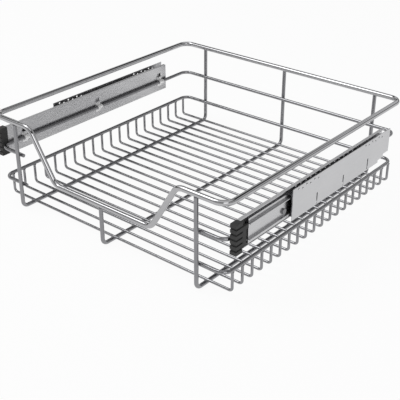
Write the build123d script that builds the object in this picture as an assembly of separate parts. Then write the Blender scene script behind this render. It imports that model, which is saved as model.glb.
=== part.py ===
from build123d import *
import math
import os

# Pull out wire basket on a pair of telescopic ball slides, for a 500 mm kitchen cabinet.
# Sizes are in mm. X is to the right, Y is to the back of the cabinet, Z is up.
# The origin is the middle of the basket's footprint, on the plane its floor wires stand on.

# Basket sizes, on wire centre lines
cabinet_clear_width = 464.0
top_rim_width = 436.0
basket_depth = 436.0
top_rim_height = 142.0
mid_rim_height = 89.0
low_rim_height = 40.0
top_wire_dia = 8.0
side_wire_dia = 5.5
floor_wire_dia = 6.0
cross_wire_dia = 4.0
weld_sink = 0.4

# Bends, on wire centre lines
top_rim_bend = 17.0
side_rim_bend = 14.0
floor_bend = 9.0
cross_bend = 5.0

# Hand dip in the front of the top rim
dip_height = 65.5
dip_top_width = 281.0
dip_bottom_width = 186.0

# Wire spacing
floor_wire_spacing = 172.0
rim_end_overrun = 7.0
cross_wire_count = 20
first_cross_wire = 19.0
last_cross_wire = 13.0

# Slide section: depth is measured from the cabinet side, height from the slide's axis
slide_axis_height = 93.0
slide_thickness = 13.0
slide_half_height = 22.0
sheet = 1.0
plate_rise = 2.0
rail_half_height = 16.0
outer_flange_depth = 6.0
ball_dia = 3.4
ball_running_fit = 0.05
race_inset = 2.5
cage_sheet = 0.5
cage_gap = 0.25
middle_web = 1.2
race_gap = 0.4

# Slide lengths, as distances behind the front of the top rim
plate_front = 124.0
plate_rear = 382.0
rail_rear = 350.0
middle_front = 36.0
middle_rear = 368.0
drawer_front = 20.0
drawer_rear = 380.0
outer_cage_front = 213.0
outer_cage_length = 66.0
inner_cage_front = 140.0
inner_cage_length = 150.0
ball_pitch = 12.0

# Mounting plate details
screw_hole_dia = 3.0
screw_hole_pitch = 9.5
screw_hole_count = 6
screw_hole_drop = 4.4
screw_hole_step = 2.4
front_screws_setback = 13.0
rear_screws_setback = 24.0
slit_width = 2.6
slit_length = 17.0
slit_pitch = 68.0
slit_setback = 60.0
slit_count = 3
slit_centre = -12.0
corner_steps = ((15.0, 9.0), (30.0, 4.0))

# Clips and the hooks that hold them
clip_setbacks = (52.0, 209.0, 362.0)
clip_length = 10.0
clip_sheet = 1.0
clip_height = 17.0
clip_fit = 0.05
hook_length = 8.0
hook_reach = 3.2
hook_drop = 3.0
hook_window_height = 5.0
rear_hole_dia = 3.2
rear_hole_pitch = 12.0
rear_hole_setback = 9.0

# End cap, closing stop and stop stud
cap_front = 7.0
cap_side_gap = 3.0
cap_rib_count = 6
cap_rib_gap = 2.6
cap_rib_depth = 1.6
cap_tongue_length = 12.0
cap_fit = 0.1
cap_block_length = 8.0
cap_block_depth = 6.0
cap_block_height = 28.0
cap_hook_length = 4.0
cap_hook_height = 6.0
stop_gap = 0.3
stop_length = 8.0
stop_depth = 6.2
stop_height = 24.0
stop_fillet = 0.5
stud_dia = 8.0
stud_height = 2.4
stud_setback = 112.0
stud_drop = 4.0

os.makedirs("parts", exist_ok=True)

# Places worked out from the sizes
front = -basket_depth / 2
rear = basket_depth / 2
cabinet_face = cabinet_clear_width / 2
slide_face = cabinet_face - slide_thickness
side_wire_x = slide_face - clip_sheet - side_wire_dia / 2
floor_wire_y = basket_depth / 2 + (top_wire_dia - floor_wire_dia) / 2
side_wire_y = floor_wire_y - (floor_wire_dia + side_wire_dia) / 2 + weld_sink
floor_wire_z = floor_wire_dia / 2
cross_wire_z = floor_wire_dia + cross_wire_dia / 2 - weld_sink
top_underside = top_rim_height - top_wire_dia / 2 + weld_sink
dip_underside = dip_height - top_wire_dia / 2 + weld_sink
low_underside = low_rim_height - side_wire_dia / 2 + weld_sink
ball_radius = ball_dia / 2
race_radius = ball_radius + ball_running_fit
outer_cage_depth = 2 * sheet + cage_gap
inner_cage_depth = slide_thickness - sheet - cage_gap - cage_sheet
outer_ball_depth = outer_cage_depth + cage_sheet + ball_radius + 2 * ball_running_fit
middle_depth = (2 * sheet + slide_thickness - sheet) / 2
inner_ball_depth = 2 * middle_depth - outer_ball_depth
middle_flange_depth = outer_cage_depth + cage_sheet + cage_gap
race_face_gap = ball_radius - race_gap / 2
outer_row_height = rail_half_height - race_inset
inner_row_height = slide_half_height - race_inset
middle_faces = (middle_depth - middle_web / 2, middle_depth + middle_web / 2)


def wire_path(points, bend, closed=False):
    """Straight runs joined by tangent arcs at the given points."""
    pts = [Vector(*p) for p in points]
    count = len(pts)
    edges = []
    inner = range(count) if closed else range(1, count - 1)
    arcs = {}
    for i in inner:
        before = (pts[i - 1] - pts[i]).normalized()
        after = (pts[(i + 1) % count] - pts[i]).normalized()
        half = before.get_angle(after) / 2
        run = bend / math.tan(math.radians(half))
        axis = (before + after).normalized()
        centre = pts[i] + axis * (bend / math.sin(math.radians(half)))
        arcs[i] = (pts[i] + before * run, centre - axis * bend, pts[i] + after * run)
    start = arcs[0][2] if closed else pts[0]
    for i in list(range(1, count)) + ([0] if closed else []):
        if i in arcs:
            edges.append(Line(start, arcs[i][0]))
            edges.append(ThreePointArc(*arcs[i]))
            start = arcs[i][2]
        else:
            edges.append(Line(start, pts[i]))
    return Wire(edges)


def bent_wire(points, dia, bend, closed=False):
    """Round wire bent along the points."""
    path = wire_path(points, bend, closed)
    section = Plane(origin=path @ 0, z_dir=path % 0) * Circle(dia / 2)
    return sweep(section, path=path)


def block(depth, run, height):
    """Box on the right slide: depth from the cabinet side, run behind the front, height from the axis."""
    x = cabinet_face - (depth[0] + depth[1]) / 2
    y = front + (run[0] + run[1]) / 2
    z = slide_axis_height + (height[0] + height[1]) / 2
    size = Box(depth[1] - depth[0], run[1] - run[0], height[1] - height[0])
    return Pos(x, y, z) * size


def round_bar(depth, run, height, radius):
    """Cylinder along the right slide, at a depth and a height."""
    length = run[1] - run[0]
    place = Pos(cabinet_face - depth, front + (run[0] + run[1]) / 2, slide_axis_height + height)
    return place * Rot(X=90) * Cylinder(radius, length)


def cross_hole(depth, run, height, radius):
    """Cylinder across the right slide's sheet."""
    place = Pos(cabinet_face - (depth[0] + depth[1]) / 2, front + run, slide_axis_height + height)
    return place * Rot(Y=90) * Cylinder(radius, depth[1] - depth[0])


def channel(web_depth, flange_depth, run, half_height):
    """Folded sheet channel: a web with a top and a bottom flange."""
    inside = half_height - sheet
    web = block(web_depth, run, (-half_height, half_height))
    top = block(flange_depth, run, (inside, half_height))
    bottom = block(flange_depth, run, (-half_height, -inside))
    return web + top + bottom


def race_pair(ball_depth, row_height, run):
    """The two grooves that a row of balls runs in, above and below."""
    return [round_bar(ball_depth, run, s * row_height, race_radius) for s in (1, -1)]


def cut(body, tools):
    """Body with each tool taken out of it."""
    for tool in tools:
        body = body - tool
    return body


def ball_rows(ball_depth, row_height, cage_front, cage_length):
    """Centres of the balls in the upper and lower rows of a cage."""
    count = int((cage_length - ball_pitch / 2) // ball_pitch) + 1
    start = cage_front + (cage_length - (count - 1) * ball_pitch) / 2
    x = cabinet_face - ball_depth
    rows = []
    for s in (1, -1):
        for i in range(count):
            z = slide_axis_height + s * row_height
            rows.append((x, front + start + i * ball_pitch, z))
    return rows


def ball_cage(web_depth, lip_depth, ball_depth, row_height, cage_front, cage_length):
    """Thin folded strip with a round pocket for each ball."""
    run = (cage_front, cage_front + cage_length)
    lip = (row_height - cage_sheet / 2, row_height + cage_sheet / 2)
    web = block(web_depth, run, (-lip[1], lip[1]))
    top = block(lip_depth, run, lip)
    bottom = block(lip_depth, run, (-lip[1], -lip[0]))
    pockets = [
        Pos(*centre) * Cylinder(race_radius, 2 * ball_dia)
        for centre in ball_rows(ball_depth, row_height, cage_front, cage_length)
    ]
    return cut(web + top + bottom, pockets)


def balls(ball_depth, row_height, cage_front, cage_length):
    """Separate steel balls of one cage."""
    centres = ball_rows(ball_depth, row_height, cage_front, cage_length)
    return Compound([Pos(*centre) * Sphere(ball_radius) for centre in centres])


def mounting_plate():
    """Flat plate against the cabinet side, with screw holes, slits and a stepped rear corner."""
    face = (0.0, sheet)
    top = slide_half_height + plate_rise
    plate = block(face, (plate_front, plate_rear), (-slide_half_height, top))
    through = (-sheet, 2 * sheet)
    tools = []
    span = (screw_hole_count - 1) * screw_hole_pitch
    for first in (plate_front + front_screws_setback, plate_rear - rear_screws_setback - span):
        for i in range(screw_hole_count):
            step = screw_hole_step / 2 if i % 2 == 0 else -screw_hole_step / 2
            height = top - screw_hole_drop + step
            run = first + i * screw_hole_pitch
            tools.append(cross_hole(through, run, height, screw_hole_dia / 2))
    for i in range(slit_count):
        mid = plate_front + slit_setback + i * slit_pitch
        run = (mid - slit_width / 2, mid + slit_width / 2)
        height = (slit_centre - slit_length / 2, slit_centre + slit_length / 2)
        tools.append(block(through, run, height))
    for back, up in corner_steps:
        run = (plate_rear - back, plate_rear + sheet)
        height = (-slide_half_height - sheet, -slide_half_height + up)
        tools.append(block(through, run, height))
    return cut(plate, tools)


def cabinet_rail():
    """Channel fixed on the plate, open towards the basket."""
    run = (plate_front, rail_rear)
    rail = channel((sheet, 2 * sheet), (sheet, outer_flange_depth), run, rail_half_height)
    return cut(rail, race_pair(outer_ball_depth, outer_row_height, run))


def middle_member():
    """Beam between the cabinet rail and the drawer member, with a race for each row of balls."""
    run = (middle_front, middle_rear)
    outer_edge = outer_row_height - race_face_gap
    inner_edge = inner_row_height - race_face_gap
    far_depth = 2 * middle_depth - middle_flange_depth
    body = block(middle_faces, run, (-inner_edge, inner_edge))
    for edge, depth in (
        (outer_edge, (middle_flange_depth, middle_faces[1])),
        (inner_edge, (middle_faces[0], far_depth)),
    ):
        body = body + block(depth, run, (edge - sheet, edge)) + block(depth, run, (-edge, sheet - edge))
    races = race_pair(outer_ball_depth, outer_row_height, run)
    races = races + race_pair(inner_ball_depth, inner_row_height, run)
    return cut(body, races)


def clip_hook(setback):
    """Tab lanced out of the drawer member's web, bent down over a clip."""
    run = (setback - hook_length / 2, setback + hook_length / 2)
    foot = mid_rim_height - slide_axis_height + clip_height / 2
    out = slide_thickness + hook_reach
    shelf = block((slide_thickness - sheet, out), run, (foot, foot + sheet))
    lip = block((out - sheet, out), run, (foot + sheet - hook_drop, foot + sheet))
    return shelf + lip


def drawer_member():
    """Channel that carries the basket, open towards the cabinet side."""
    run = (drawer_front, drawer_rear)
    web_depth = (slide_thickness - sheet, slide_thickness)
    flange_depth = (2 * middle_depth - outer_flange_depth, slide_thickness)
    body = channel(web_depth, flange_depth, run, slide_half_height)
    body = cut(body, race_pair(inner_ball_depth, inner_row_height, run))
    through = (slide_thickness - 1.5 * sheet, slide_thickness + sheet)
    for setback in clip_setbacks:
        window_foot = mid_rim_height - slide_axis_height + clip_height / 2 + sheet
        window_run = (setback - hook_length / 2, setback + hook_length / 2)
        window = block(through, window_run, (window_foot, window_foot + hook_window_height))
        body = body - window + clip_hook(setback)
    for s in (1, -1):
        height = s * rear_hole_pitch / 2
        body = body - cross_hole(through, drawer_rear - rear_hole_setback, height, rear_hole_dia / 2)
    return body


def rim_clip(setback):
    """Strap round the middle rim with a foot against the drawer member."""
    run = (setback - clip_length / 2, setback + clip_length / 2)
    rim = mid_rim_height - slide_axis_height
    wire_depth = cabinet_face - side_wire_x
    bore = side_wire_dia / 2 + clip_fit
    outside = bore + clip_sheet
    foot_depth = (slide_thickness, slide_thickness + clip_sheet)
    strap = round_bar(wire_depth, run, rim, outside)
    strap = strap + block((slide_thickness, wire_depth), run, (rim - outside, rim + outside))
    inside = round_bar(wire_depth, run, rim, bore)
    inside = inside + block((foot_depth[1], wire_depth), run, (rim - bore, rim + bore))
    foot = block(foot_depth, run, (rim - clip_height / 2, rim + clip_height / 2))
    behind = block((slide_thickness - clip_sheet, slide_thickness), run, (rim - outside, rim + outside))
    return strap - inside - behind + foot


def end_cap():
    """Ribbed plug in the front end of the drawer member, with a block towards the cabinet side."""
    run = (cap_front, drawer_front)
    core_depth = (cap_side_gap + cap_rib_depth, slide_thickness)
    cap = block(core_depth, (cap_front + cap_rib_depth, drawer_front), (-slide_half_height, slide_half_height))
    pitch = (2 * slide_half_height + cap_rib_gap) / cap_rib_count
    for i in range(cap_rib_count):
        low = -slide_half_height + i * pitch
        cap = cap + block((cap_side_gap, slide_thickness), run, (low, low + pitch - cap_rib_gap))
    tongue_half = slide_half_height - sheet - cap_fit
    tongue_depth = (inner_ball_depth, slide_thickness - sheet - cap_fit)
    tongue_run = (drawer_front, drawer_front + cap_tongue_length)
    cap = cap + block(tongue_depth, tongue_run, (-tongue_half, tongue_half))
    block_depth = (cap_side_gap, cap_side_gap + cap_block_depth)
    block_rear = drawer_front + cap_block_length
    half = cap_block_height / 2
    cap = cap + block(block_depth, (drawer_front, block_rear), (-half, half))
    hook_run = (block_rear, block_rear + cap_hook_length)
    hook_depth = (cap_side_gap, cap_side_gap + cap_block_depth / 2)
    return cap + block(hook_depth, hook_run, (half - cap_hook_height, half))


def closing_stop():
    """Rubber block that the middle member's rear end closes against."""
    run = (middle_rear + stop_gap, middle_rear + stop_gap + stop_length)
    stop = block((sheet, sheet + stop_depth), run, (-stop_height / 2, stop_height / 2))
    return fillet(stop.edges().filter_by(Axis.Z), stop_fillet)


def stop_stud():
    """Round stud on the middle member's outer face."""
    depth = (middle_faces[0] - stud_height, middle_faces[0])
    return cross_hole(depth, stud_setback, -stud_drop, stud_dia / 2)


half_top = top_rim_width / 2
top_rim_points = [
    (half_top, rear, top_rim_height),
    (-half_top, rear, top_rim_height),
    (-half_top, front, top_rim_height),
    (-dip_top_width / 2, front, top_rim_height),
    (-dip_bottom_width / 2, front, dip_height),
    (dip_bottom_width / 2, front, dip_height),
    (dip_top_width / 2, front, top_rim_height),
    (half_top, front, top_rim_height),
]


def side_rim(height):
    """Three-sided rim whose ends are welded behind the outer front uprights."""
    end = floor_wire_spacing - rim_end_overrun
    points = [
        (-end, -side_wire_y, height),
        (-side_wire_x, -side_wire_y, height),
        (-side_wire_x, side_wire_y, height),
        (side_wire_x, side_wire_y, height),
        (side_wire_x, -side_wire_y, height),
        (end, -side_wire_y, height),
    ]
    return bent_wire(points, side_wire_dia, side_rim_bend)


def floor_wire(x, front_top):
    """Wire from the front rim, under the floor and up to the rear rim."""
    points = [
        (x, -floor_wire_y, front_top),
        (x, -floor_wire_y, floor_wire_z),
        (x, floor_wire_y, floor_wire_z),
        (x, floor_wire_y, top_underside),
    ]
    return bent_wire(points, floor_wire_dia, floor_bend)


def cross_wire(y):
    """Wire across the floor and up both sides to the low rim."""
    points = [
        (-side_wire_x, y, low_underside),
        (-side_wire_x, y, cross_wire_z),
        (side_wire_x, y, cross_wire_z),
        (side_wire_x, y, low_underside),
    ]
    return bent_wire(points, cross_wire_dia, cross_bend)


nodes = {
    "top_rim": bent_wire(top_rim_points, top_wire_dia, top_rim_bend, closed=True),
    "mid_rim": side_rim(mid_rim_height),
    "low_rim": side_rim(low_rim_height),
    "floor_wire_left": floor_wire(-floor_wire_spacing, top_underside),
    "floor_wire_middle": floor_wire(0.0, dip_underside),
    "floor_wire_right": floor_wire(floor_wire_spacing, top_underside),
}

cross_wire_pitch = (basket_depth - first_cross_wire - last_cross_wire) / (cross_wire_count - 1)
for i in range(cross_wire_count):
    nodes[f"cross_wire_{i + 1:02d}"] = cross_wire(front + first_cross_wire + i * cross_wire_pitch)

outer_row = (outer_ball_depth, outer_row_height, outer_cage_front, outer_cage_length)
inner_row = (inner_ball_depth, inner_row_height, inner_cage_front, inner_cage_length)
outer_lip = (outer_cage_depth, middle_faces[0] - cage_gap)
inner_lip = (middle_depth + cage_gap, inner_cage_depth + cage_sheet)
right_side = {
    "mounting_plate": mounting_plate(),
    "cabinet_rail": cabinet_rail(),
    "outer_ball_cage": ball_cage((outer_cage_depth, outer_cage_depth + cage_sheet), outer_lip, *outer_row),
    "outer_balls": balls(*outer_row),
    "middle_member": middle_member(),
    "inner_ball_cage": ball_cage((inner_cage_depth, inner_cage_depth + cage_sheet), inner_lip, *inner_row),
    "inner_balls": balls(*inner_row),
    "drawer_member": drawer_member(),
    "front_clip": rim_clip(clip_setbacks[0]),
    "centre_clip": rim_clip(clip_setbacks[1]),
    "rear_clip": rim_clip(clip_setbacks[2]),
    "end_cap": end_cap(),
    "closing_stop": closing_stop(),
    "stop_stud": stop_stud(),
}
for name, piece in right_side.items():
    nodes[f"{name}_right"] = piece
    nodes[f"{name}_left"] = mirror(piece, about=Plane.YZ)

for name, piece in nodes.items():
    export_step(piece, f"parts/{name}.step")
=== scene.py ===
import logging
import math
from dataclasses import dataclass, field
from enum import Enum
from typing import Any, ClassVar, Iterable

import bpy
from mathutils import Matrix, Vector


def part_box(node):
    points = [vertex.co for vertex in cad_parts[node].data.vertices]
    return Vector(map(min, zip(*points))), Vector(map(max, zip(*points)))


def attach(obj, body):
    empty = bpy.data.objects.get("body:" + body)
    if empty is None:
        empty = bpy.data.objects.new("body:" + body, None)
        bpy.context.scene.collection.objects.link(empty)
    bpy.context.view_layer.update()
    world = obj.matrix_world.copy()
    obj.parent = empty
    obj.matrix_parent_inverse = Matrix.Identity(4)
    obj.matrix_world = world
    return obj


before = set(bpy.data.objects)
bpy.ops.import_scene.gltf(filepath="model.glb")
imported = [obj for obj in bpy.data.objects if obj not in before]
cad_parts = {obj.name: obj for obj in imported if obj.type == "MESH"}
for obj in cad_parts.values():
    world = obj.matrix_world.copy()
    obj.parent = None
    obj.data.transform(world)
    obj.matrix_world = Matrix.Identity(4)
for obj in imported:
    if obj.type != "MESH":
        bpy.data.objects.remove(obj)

LOG = logging.getLogger("basket")
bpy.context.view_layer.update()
Colour = tuple[float, float, float]
WHITE: tuple[float, float, float, float] = (1.0, 1.0, 1.0, 1.0)
SIDES: tuple[str, str] = ("right", "left")
CROSS_WIRES: int = 20
MIDDLE_FLOOR_WIRE: str = "floor_wire_middle"
FLOOR_WIRES: tuple[str, ...] = ("floor_wire_left", MIDDLE_FLOOR_WIRE, "floor_wire_right")
BASKET_BODY: str = "basket"


class Grain(Enum):
    """Squeeze of the coordinates, which draws the marks of a finish out along an axis."""

    NONE = (1.0, 1.0, 1.0)
    ALONG_Y = (1.0, 0.04, 1.0)


class Value:
    """Shader socket that takes part in arithmetic."""

    def __init__(self, tree: "ShaderTree", socket: Any) -> None:
        """Wrap a socket of a tree."""
        self.tree = tree
        self.socket = socket

    def _math(self, operation: str, first: Any, second: Any, clamp: bool = False) -> "Value":
        """Add a Math node.

        Args:
            operation: Name of the node's operation.
            first: Value or number of the first input.
            second: Value or number of the second input.
            clamp: Whether the result stays between 0 and 1.

        Returns:
            The node's result.
        """
        return self.tree.node(
            "ShaderNodeMath", {"operation": operation, "use_clamp": clamp}, {0: first, 1: second}
        ).out(0)

    def __add__(self, other: Any) -> "Value":
        """Sum."""
        return self._math("ADD", self, other)

    __radd__ = __add__

    def __mul__(self, other: Any) -> "Value":
        """Product."""
        return self._math("MULTIPLY", self, other)

    __rmul__ = __mul__

    def __sub__(self, other: Any) -> "Value":
        """Difference."""
        return self._math("SUBTRACT", self, other)

    def __rsub__(self, other: Any) -> "Value":
        """Difference the other way round."""
        return self._math("SUBTRACT", other, self)

    def __gt__(self, other: Any) -> "Value":
        """One where this is the greater, else nought."""
        return self._math("GREATER_THAN", self, other)

    def clamped(self) -> "Value":
        """This value kept between 0 and 1."""
        return self._math("ADD", self, 0.0, clamp=True)


class ShaderNode:
    """Node of a shader tree."""

    def __init__(self, tree: "ShaderTree", node: Any) -> None:
        """Wrap a node of a tree."""
        self.tree = tree
        self.node = node

    def out(self, key: int | str) -> Value:
        """Output socket of the node, by name or place."""
        return Value(self.tree, self.node.outputs[key])


class ShaderTree:
    """Node tree of a material or a world, built by method calls."""

    def __init__(self, tree: Any) -> None:
        """Empty a node tree and keep it."""
        self.tree = tree
        tree.nodes.clear()

    def node(
        self,
        kind: str,
        settings: dict[str, Any] | None = None,
        inputs: dict[int | str, Any] | None = None,
    ) -> ShaderNode:
        """Add a node.

        Args:
            kind: Type name of the node.
            settings: Properties of the node, set first.
            inputs: Values or links of its sockets, by name or place.

        Returns:
            The wrapped node.
        """
        made = self.tree.nodes.new(kind)
        for name, value in (settings or {}).items():
            setattr(made, name, value)
        for key, value in (inputs or {}).items():
            if isinstance(value, Value):
                self.tree.links.new(value.socket, made.inputs[key])
            else:
                made.inputs[key].default_value = value
        return ShaderNode(self, made)

    def object_point(self, grain: Grain) -> Value:
        """Object coordinates, squeezed along the grain."""
        place = self.node("ShaderNodeTexCoord").out("Object")
        return self.node("ShaderNodeVectorMath", {"operation": "MULTIPLY"}, {0: place, 1: grain.value}).out(0)

    def noise(self, point: Value, scale: float, detail: float = 3.0) -> Value:
        """Noise between 0 and 1 at a point.

        Args:
            point: Coordinates that the noise is read at.
            scale: Marks per metre.
            detail: Octaves of the noise.

        Returns:
            The noise value.
        """
        inputs = {"Vector": point, "Scale": scale, "Detail": detail}
        return self.node("ShaderNodeTexNoise", None, inputs).out(0)

    def mix(self, factor: Value, first: Colour, second: Colour) -> Value:
        """Colour between two colours.

        Args:
            factor: Share of the second colour.
            first: Colour at 0.
            second: Colour at 1.

        Returns:
            The mixed colour.
        """
        made = self.node("ShaderNodeMix", {"data_type": "RGBA"}, {0: factor})
        made.node.inputs[6].default_value = (*first, 1.0)
        made.node.inputs[7].default_value = (*second, 1.0)
        return Value(self, made.node.outputs[2])


@dataclass(frozen=True)
class Finish:
    """Surface finish with fine marks, cloudy variation and wear.

    Sizes are in metres, and marks are counted per metre.
    """

    name: str
    base: Colour
    worn: Colour
    metallic: float
    roughness: float
    roughness_spread: float
    mark_scale: float
    cloud_scale: float
    bump: float
    grain: Grain = Grain.NONE
    noise_middle: ClassVar[float] = 0.5
    cloud_detail: ClassVar[float] = 4.0
    cloud_share: ClassVar[float] = 0.75
    mark_share: ClassVar[float] = 0.25
    share_drop: ClassVar[float] = 0.2
    speck_finer: ClassVar[float] = 2.5
    speck_detail: ClassVar[float] = 2.0
    speck_level: ClassVar[float] = 0.68
    speck_share: ClassVar[float] = 0.35

    def material(self) -> bpy.types.Material:
        """Material of this finish, made once.

        Returns:
            The material.
        """
        found = bpy.data.materials.get(self.name)
        if found is not None:
            return found
        made = bpy.data.materials.new(self.name)
        made.use_nodes = True
        tree = ShaderTree(made.node_tree)
        plain_point = tree.object_point(Grain.NONE)
        marks = tree.noise(tree.object_point(self.grain), self.mark_scale)
        clouds = tree.noise(plain_point, self.cloud_scale, self.cloud_detail)
        fine = tree.noise(plain_point, self.mark_scale * self.speck_finer, self.speck_detail)
        specks = (fine > self.speck_level) * self.speck_share
        share = (clouds * self.cloud_share + marks * self.mark_share + specks - self.share_drop).clamped()
        mark_part = (marks - self.noise_middle) * self.roughness_spread
        cloud_part = (clouds - self.noise_middle) * self.roughness_spread
        normal = tree.node(
            "ShaderNodeBump", None, {"Strength": 1.0, "Distance": self.bump, "Height": marks}
        ).out(0)
        inputs = {
            "Base Color": tree.mix(share, self.base, self.worn),
            "Metallic": self.metallic,
            "Roughness": (mark_part + cloud_part + self.roughness).clamped(),
            "Normal": normal,
        }
        shader = tree.node("ShaderNodeBsdfPrincipled", None, inputs)
        tree.node("ShaderNodeOutputMaterial", None, {"Surface": shader.out(0)})
        return made

    def dress(self, nodes: Iterable[str]) -> None:
        """Put this finish on nodes of the frame.

        Args:
            nodes: Names of the nodes.
        """
        for name in nodes:
            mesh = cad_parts[name].data
            mesh.materials.clear()
            mesh.materials.append(self.material())


# Chrome grey with painted shade: the base is darkened below plain chrome to stand in for dark surroundings in
# the rim's reflections.
RIM_CHROME_PAINTED_SHADE = Finish(
    name="rim_chrome_painted_shade",
    base=(0.46, 0.46, 0.47),
    worn=(0.33, 0.33, 0.34),
    metallic=1.0,
    roughness=0.06,
    roughness_spread=0.05,
    mark_scale=900.0,
    cloud_scale=25.0,
    bump=0.00002,
)
# Chrome grey with painted shade: the base is darkened well below plain chrome to stand in for dark
# surroundings in the wires' reflections.
WIRE_CHROME_PAINTED_SHADE = Finish(
    name="wire_chrome_painted_shade",
    base=(0.30, 0.30, 0.31),
    worn=(0.20, 0.20, 0.21),
    metallic=1.0,
    roughness=0.12,
    roughness_spread=0.08,
    mark_scale=1100.0,
    cloud_scale=30.0,
    bump=0.00003,
)
WELD_METAL = Finish(
    name="weld_metal",
    base=(0.28, 0.28, 0.29),
    worn=(0.18, 0.18, 0.19),
    metallic=1.0,
    roughness=0.28,
    roughness_spread=0.2,
    mark_scale=1500.0,
    cloud_scale=90.0,
    bump=0.00008,
)
ZINC_SHEET = Finish(
    name="zinc_sheet",
    base=(0.56, 0.56, 0.57),
    worn=(0.47, 0.47, 0.48),
    metallic=1.0,
    roughness=0.28,
    roughness_spread=0.14,
    mark_scale=1300.0,
    cloud_scale=14.0,
    bump=0.00002,
    grain=Grain.ALONG_Y,
)
# Painted shade: the cabinet rail's zinc sheet is coloured far darker than the other members to stand in for
# the shadow on its inner face.
RAIL_SHEET_PAINTED_SHADE = Finish(
    name="rail_sheet_painted_shade",
    base=(0.20, 0.20, 0.21),
    worn=(0.12, 0.12, 0.13),
    metallic=1.0,
    roughness=0.36,
    roughness_spread=0.14,
    mark_scale=1300.0,
    cloud_scale=14.0,
    bump=0.00002,
    grain=Grain.ALONG_Y,
)
PLATE_SHEET = Finish(
    name="plate_sheet",
    base=(0.58, 0.58, 0.59),
    worn=(0.49, 0.49, 0.50),
    metallic=1.0,
    roughness=0.34,
    roughness_spread=0.14,
    mark_scale=1300.0,
    cloud_scale=12.0,
    bump=0.00002,
    grain=Grain.ALONG_Y,
)
CAGE_SHEET = Finish(
    name="cage_sheet",
    base=(0.40, 0.40, 0.41),
    worn=(0.26, 0.26, 0.27),
    metallic=1.0,
    roughness=0.38,
    roughness_spread=0.12,
    mark_scale=1600.0,
    cloud_scale=40.0,
    bump=0.00002,
    grain=Grain.ALONG_Y,
)
BALL_STEEL = Finish(
    name="ball_steel",
    base=(0.62, 0.62, 0.64),
    worn=(0.46, 0.46, 0.48),
    metallic=1.0,
    roughness=0.08,
    roughness_spread=0.05,
    mark_scale=2000.0,
    cloud_scale=150.0,
    bump=0.000004,
)
CLIP_NICKEL = Finish(
    name="clip_nickel",
    base=(0.94, 0.94, 0.93),
    worn=(0.84, 0.84, 0.83),
    metallic=0.6,
    roughness=0.22,
    roughness_spread=0.1,
    mark_scale=1500.0,
    cloud_scale=80.0,
    bump=0.00001,
)
STUD_STEEL = Finish(
    name="stud_steel",
    base=(0.10, 0.10, 0.105),
    worn=(0.18, 0.18, 0.18),
    metallic=1.0,
    roughness=0.35,
    roughness_spread=0.15,
    mark_scale=1500.0,
    cloud_scale=120.0,
    bump=0.00003,
)
CAP_PLASTIC = Finish(
    name="cap_plastic",
    base=(0.006, 0.006, 0.0065),
    worn=(0.018, 0.018, 0.0185),
    metallic=0.0,
    roughness=0.34,
    roughness_spread=0.16,
    mark_scale=2200.0,
    cloud_scale=60.0,
    bump=0.00004,
)
STOP_RUBBER = Finish(
    name="stop_rubber",
    base=(0.02, 0.02, 0.02),
    worn=(0.04, 0.04, 0.039),
    metallic=0.0,
    roughness=0.7,
    roughness_spread=0.15,
    mark_scale=1800.0,
    cloud_scale=70.0,
    bump=0.00006,
)


def both(*names: str) -> list[str]:
    """Names of the right and left nodes of each kind."""
    return [f"{name}_{side}" for name in names for side in SIDES]


def centre(node: str) -> Vector:
    """Middle of a node's box."""
    low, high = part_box(node)
    return (Vector(low) + Vector(high)) / 2


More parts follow.
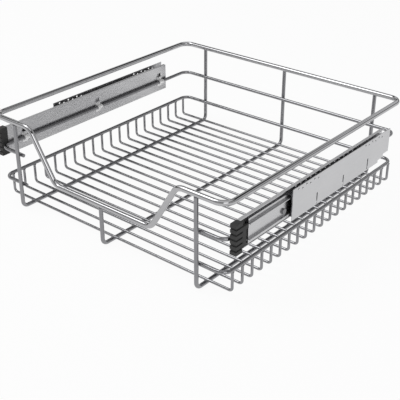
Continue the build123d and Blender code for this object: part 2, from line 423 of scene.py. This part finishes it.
@dataclass
class Welds:
    """Small weld beads, put on a set of points by a Geometry Nodes tree.

    Sizes are in metres.
    """

    name: str
    length: float
    width: float
    height: float
    seed: int = 3
    points: list[Vector] = field(default_factory=list)
    turned: list[bool] = field(default_factory=list)
    spread: ClassVar[float] = 0.18
    unit_radius: ClassVar[float] = 0.5
    subdivisions: ClassVar[int] = 3

    def add(self, point: Vector, across: bool = False) -> None:
        """Ask for a bead.

        Args:
            point: Middle of the bead.
            across: Whether the bead's length lies along Y instead of X.
        """
        self.points.append(point)
        self.turned.append(across)

    def _tree(self) -> bpy.types.NodeTree:
        """Geometry Nodes tree that puts a bead on each vertex.

        Returns:
            The tree, with an input for each size.
        """
        tree = bpy.data.node_groups.new(self.name, "GeometryNodeTree")
        face = tree.interface
        face.new_socket("Geometry", in_out="INPUT", socket_type="NodeSocketGeometry")
        for label in ("Length", "Width", "Height", "Spread"):
            face.new_socket(label, in_out="INPUT", socket_type="NodeSocketFloat")
        face.new_socket("Seed", in_out="INPUT", socket_type="NodeSocketInt")
        face.new_socket("Geometry", in_out="OUTPUT", socket_type="NodeSocketGeometry")
        nodes, link = tree.nodes, tree.links.new
        source = nodes.new("NodeGroupInput")
        bead = nodes.new("GeometryNodeMeshIcoSphere")
        bead.inputs["Radius"].default_value = self.unit_radius
        bead.inputs["Subdivisions"].default_value = self.subdivisions
        size = nodes.new("ShaderNodeCombineXYZ")
        for axis, label in zip("XYZ", ("Length", "Width", "Height")):
            link(source.outputs[label], size.inputs[axis])
        shaped = nodes.new("GeometryNodeTransform")
        link(bead.outputs["Mesh"], shaped.inputs["Geometry"])
        link(size.outputs[0], shaped.inputs["Scale"])
        low = nodes.new("ShaderNodeMath")
        low.operation = "SUBTRACT"
        low.inputs[0].default_value = 1.0
        link(source.outputs["Spread"], low.inputs[1])
        chance = nodes.new("FunctionNodeRandomValue")
        chance.data_type = "FLOAT"
        floats = [s for s in chance.inputs if s.type == "VALUE"]
        link(low.outputs[0], floats[0])
        floats[1].default_value = 1.0
        link(source.outputs["Seed"], chance.inputs["Seed"])
        turn = nodes.new("GeometryNodeInputNamedAttribute")
        turn.data_type = "FLOAT_VECTOR"
        turn.inputs["Name"].default_value = "turn"
        spin = nodes.new("FunctionNodeEulerToRotation")
        link(turn.outputs[0], spin.inputs[0])
        place = nodes.new("GeometryNodeInstanceOnPoints")
        link(source.outputs["Geometry"], place.inputs["Points"])
        link(shaped.outputs["Geometry"], place.inputs["Instance"])
        link(spin.outputs[0], place.inputs["Rotation"])
        link(next(s for s in chance.outputs if s.type == "VALUE"), place.inputs["Scale"])
        real = nodes.new("GeometryNodeRealizeInstances")
        link(place.outputs["Instances"], real.inputs["Geometry"])
        smooth = nodes.new("GeometryNodeSetShadeSmooth")
        link(real.outputs["Geometry"], smooth.inputs["Geometry"])
        coat = nodes.new("GeometryNodeSetMaterial")
        coat.inputs["Material"].default_value = WELD_METAL.material()
        link(smooth.outputs["Geometry"], coat.inputs["Geometry"])
        sink = nodes.new("NodeGroupOutput")
        link(coat.outputs["Geometry"], sink.inputs["Geometry"])
        return tree

    def build(self) -> bpy.types.Object:
        """Make the beads one plain mesh and hang it on its body.

        Returns:
            The finished piece.
        """
        mesh = bpy.data.meshes.new(f"{self.name}_points")
        mesh.from_pydata([tuple(p) for p in self.points], [], [])
        turn = mesh.attributes.new("turn", "FLOAT_VECTOR", "POINT")
        for item, across in zip(turn.data, self.turned):
            item.vector = (0.0, 0.0, math.pi / 2 if across else 0.0)
        holder = bpy.data.objects.new(f"{self.name}_holder", mesh)
        bpy.context.scene.collection.objects.link(holder)
        tree = self._tree()
        modifier = holder.modifiers.new("beads", "NODES")
        modifier.node_group = tree
        sizes = {
            "Length": self.length,
            "Width": self.width,
            "Height": self.height,
            "Spread": self.spread,
            "Seed": self.seed,
        }
        for item in tree.interface.items_tree:
            if item.item_type == "SOCKET" and item.in_out == "INPUT" and item.name in sizes:
                modifier[item.identifier] = sizes[item.name]
        graph = bpy.context.evaluated_depsgraph_get()
        made = bpy.data.meshes.new_from_object(holder.evaluated_get(graph))
        made.name = self.name
        bpy.data.objects.remove(holder)
        piece = bpy.data.objects.new(self.name, made)
        bpy.context.scene.collection.objects.link(piece)
        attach(piece, BASKET_BODY)
        LOG.info("%s: %d beads", self.name, len(self.points))
        return piece


@dataclass
class WireBasket:
    """Welded wire basket: three rims, three floor wires and the cross wires.

    Sizes are in metres.
    """

    bead_length: float = 0.0066
    bead_width: float = 0.0052
    bead_height: float = 0.0022
    end_bead: float = 0.0058
    cross_wire_radius: float = 0.002
    floor_wire_radius: float = 0.003
    side_wire_radius: float = 0.00275
    top_wire_radius: float = 0.004

    def dress(self) -> None:
        """Give the wires their chrome, whose darkened base carries painted shade."""
        RIM_CHROME_PAINTED_SHADE.dress(["top_rim"])
        WIRE_CHROME_PAINTED_SHADE.dress(["mid_rim", "low_rim", *FLOOR_WIRES, *self.cross_wires()])
        LOG.info("basket wires dressed")

    @staticmethod
    def cross_wires() -> list[str]:
        """Names of the cross wires, front to back."""
        return [f"cross_wire_{i:02d}" for i in range(1, CROSS_WIRES + 1)]

    def weld_floor(self) -> None:
        """Beads where each cross wire lies on a floor wire."""
        welds = Welds("floor_welds", self.bead_length, self.bead_width, self.bead_height)
        for name in self.cross_wires():
            y = centre(name).y
            for wire in FLOOR_WIRES:
                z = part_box(wire)[0][2] + 2 * self.floor_wire_radius
                welds.add(Vector((centre(wire).x, y, z)))
        welds.build()

    def weld_uprights(self) -> None:
        """Beads on the tops of the uprights and where the rims cross them."""
        ends = Welds("upright_welds", self.end_bead, self.end_bead, self.bead_height)
        under_low_rim = centre("low_rim").z - self.side_wire_radius
        for name in self.cross_wires():
            low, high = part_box(name)
            for x in (low[0] + self.cross_wire_radius, high[0] - self.cross_wire_radius):
                ends.add(Vector((x, centre(name).y, under_low_rim)))
        dip_bottom, rim_top = (corner[2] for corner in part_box("top_rim"))
        under_top_rim = rim_top - 2 * self.top_wire_radius
        for wire in FLOOR_WIRES:
            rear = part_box(wire)[1][1] - self.floor_wire_radius
            ends.add(Vector((centre(wire).x, rear, under_top_rim)))
        for wire in FLOOR_WIRES:
            if wire != MIDDLE_FLOOR_WIRE:
                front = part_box(wire)[0][1] + self.floor_wire_radius
                ends.add(Vector((centre(wire).x, front, under_top_rim)))
        middle_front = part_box(MIDDLE_FLOOR_WIRE)[0][1] + self.floor_wire_radius
        ends.add(Vector((0.0, middle_front, dip_bottom)))
        ends.build()
        sides = Welds("rim_welds", self.end_bead, self.bead_height, self.end_bead)
        for rim in ("mid_rim", "low_rim"):
            z = centre(rim).z
            for wire in FLOOR_WIRES:
                low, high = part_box(wire)
                sides.add(Vector((centre(wire).x, high[1] - 2 * self.floor_wire_radius, z)))
                if wire != MIDDLE_FLOOR_WIRE:
                    sides.add(Vector((centre(wire).x, low[1] + 2 * self.floor_wire_radius, z)))
        sides.build()


class SlidePair:
    """Left and right telescopic ball slides, with the finish of each kind of part."""

    finishes: ClassVar[dict[Finish, tuple[str, ...]]] = {
        PLATE_SHEET: ("mounting_plate",),
        ZINC_SHEET: ("middle_member", "drawer_member"),
        # The cabinet rail's dark colour is painted shade, not the zinc's own tone.
        RAIL_SHEET_PAINTED_SHADE: ("cabinet_rail",),
        CAGE_SHEET: ("outer_ball_cage", "inner_ball_cage"),
        BALL_STEEL: ("outer_balls", "inner_balls"),
        CLIP_NICKEL: ("front_clip", "centre_clip", "rear_clip"),
        CAP_PLASTIC: ("end_cap",),
        STOP_RUBBER: ("closing_stop",),
        STUD_STEEL: ("stop_stud",),
    }

    def dress(self) -> None:
        """Give each part of the slides its finish."""
        for finish, kinds in self.finishes.items():
            finish.dress(both(*kinds))
        LOG.info("slides dressed")


@dataclass
class Studio:
    """Pale floor, white backdrop, soft lamps, dark bands for the chrome to reflect, and the camera.

    Sizes are in metres, angles in degrees and lamp powers in watts.
    """

    azimuth: float = 39.7
    elevation: float = 28.69
    distance: float = 1.3394
    target: tuple[float, float, float] = (0.0083, -0.0143, -0.0090)
    focal_pixels: float = 848.07
    image_width: float = 400.0
    sensor: float = 36.0
    floor_half: float = 40.0
    floor_gap: float = 0.0002
    floor_colour: Colour = (0.80, 0.80, 0.80)
    paper_grain: float = 40.0
    paper_shade: float = 0.985
    ambient: float = 0.55
    paper_glow: float = 0.93
    flag_count: float = 14.0
    flag_start: float = 1.13
    flag_depth: float = 1.0
    key_place: tuple[float, float, float] = (-0.9, -0.6, 1.7)
    key_size: float = 1.1
    key_power: float = 14.0
    fill_place: tuple[float, float, float] = (1.6, -1.2, 1.1)
    fill_size: float = 1.0
    fill_power: float = 6.0
    lamp_aim: tuple[float, float, float] = (0.0, 0.0, 0.06)

    def camera(self) -> None:
        """Camera at the photograph's angle."""
        data = bpy.data.cameras.new("camera")
        data.sensor_width = self.sensor
        data.lens = self.focal_pixels * self.sensor / self.image_width
        data.dof.use_dof = False
        made = bpy.data.objects.new("camera", data)
        az, el = math.radians(self.azimuth), math.radians(self.elevation)
        away = Vector((math.sin(az) * math.cos(el), -math.cos(az) * math.cos(el), math.sin(el)))
        place = Vector(self.target) + away * self.distance
        turn = away.to_track_quat("Z", "Y").to_matrix().to_4x4()
        made.matrix_world = Matrix.Translation(place) @ turn
        bpy.context.scene.collection.objects.link(made)
        bpy.context.scene.camera = made

    @staticmethod
    def _backdrop_share(tree: ShaderTree) -> Value:
        """One for rays that should see the white background, else nought.

        Args:
            tree: Tree that the nodes are added to.

        Returns:
            The share of the white background.
        """
        path = tree.node("ShaderNodeLightPath")
        share = path.out("Is Camera Ray") + path.out("Is Glossy Ray") + path.out("Is Transmission Ray")
        return share.clamped()

    def world(self) -> None:
        """White surroundings that light softly, with dark bands that only reflections show."""
        world = bpy.data.worlds.new("studio")
        bpy.context.scene.world = world
        world.use_nodes = True
        tree = ShaderTree(world.node_tree)
        direction = tree.node("ShaderNodeTexCoord").out("Generated")
        height = tree.node("ShaderNodeSeparateXYZ", None, {0: direction}).out(2)
        phase = height * self.flag_count + self.flag_start
        wave = tree.node("ShaderNodeMath", {"operation": "SINE"}, {0: phase}).out(0)
        glossy = tree.node("ShaderNodeLightPath").out("Is Glossy Ray")
        # The wave runs from -1 to 1, so half of it taken from a half runs from 0 to 1.
        shade = glossy * (0.5 - wave * 0.5) * self.flag_depth
        strength = self._backdrop_share(tree) * (1.0 - self.ambient) + self.ambient - shade
        shader = tree.node("ShaderNodeBackground", None, {"Color": WHITE, "Strength": strength})
        tree.node("ShaderNodeOutputWorld", None, {"Surface": shader.out(0)})

    def floor(self) -> None:
        """Plain pale floor just under the floor wires."""
        half, z = self.floor_half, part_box("floor_wire_left")[0][2] - self.floor_gap
        mesh = bpy.data.meshes.new("floor")
        corners = [(-half, -half, z), (half, -half, z), (half, half, z), (-half, half, z)]
        mesh.from_pydata(corners, [], [(0, 1, 2, 3)])
        made = bpy.data.objects.new("floor", mesh)
        bpy.context.scene.collection.objects.link(made)
        material = bpy.data.materials.new("floor_paper")
        material.use_nodes = True
        tree = ShaderTree(material.node_tree)
        grain = tree.noise(tree.object_point(Grain.NONE), self.paper_grain)
        pale = self.floor_colour
        colour = tree.mix(grain, pale, tuple(c * self.paper_shade for c in pale))
        matt = tree.node("ShaderNodeBsdfDiffuse", None, {"Color": colour})
        paper = tree.node("ShaderNodeEmission", None, {"Color": WHITE, "Strength": 1.0})
        share = self._backdrop_share(tree) * self.paper_glow
        shader = tree.node("ShaderNodeMixShader", None, {0: share, 1: matt.out(0), 2: paper.out(0)})
        tree.node("ShaderNodeOutputMaterial", None, {"Surface": shader.out(0)})
        mesh.materials.append(material)

    def lamp(self, name: str, place: tuple[float, float, float], size: float, power: float) -> None:
        """Soft square lamp that points at the object.

        Args:
            name: Name of the lamp.
            place: Where it stands, in metres.
            size: Length of its side.
            power: Watts.
        """
        data = bpy.data.lights.new(name, "AREA")
        data.size = size
        data.energy = power
        made = bpy.data.objects.new(name, data)
        away = Vector(place) - Vector(self.lamp_aim)
        turn = away.to_track_quat("Z", "Y").to_matrix().to_4x4()
        made.matrix_world = Matrix.Translation(Vector(place)) @ turn
        bpy.context.scene.collection.objects.link(made)

    def build(self) -> None:
        """Set up the whole studio."""
        scene = bpy.context.scene
        scene.view_settings.view_transform = "Standard"
        self.camera()
        self.world()
        self.floor()
        self.lamp("key", self.key_place, self.key_size, self.key_power)
        self.lamp("fill", self.fill_place, self.fill_size, self.fill_power)
        LOG.info("studio built")


def main() -> None:
    """Build and dress the object in order."""
    logging.basicConfig(level=logging.INFO, format="%(message)s")
    Studio().build()
    basket = WireBasket()
    basket.dress()
    basket.weld_floor()
    basket.weld_uprights()
    SlidePair().dress()


if __name__ == "__main__":
    main()
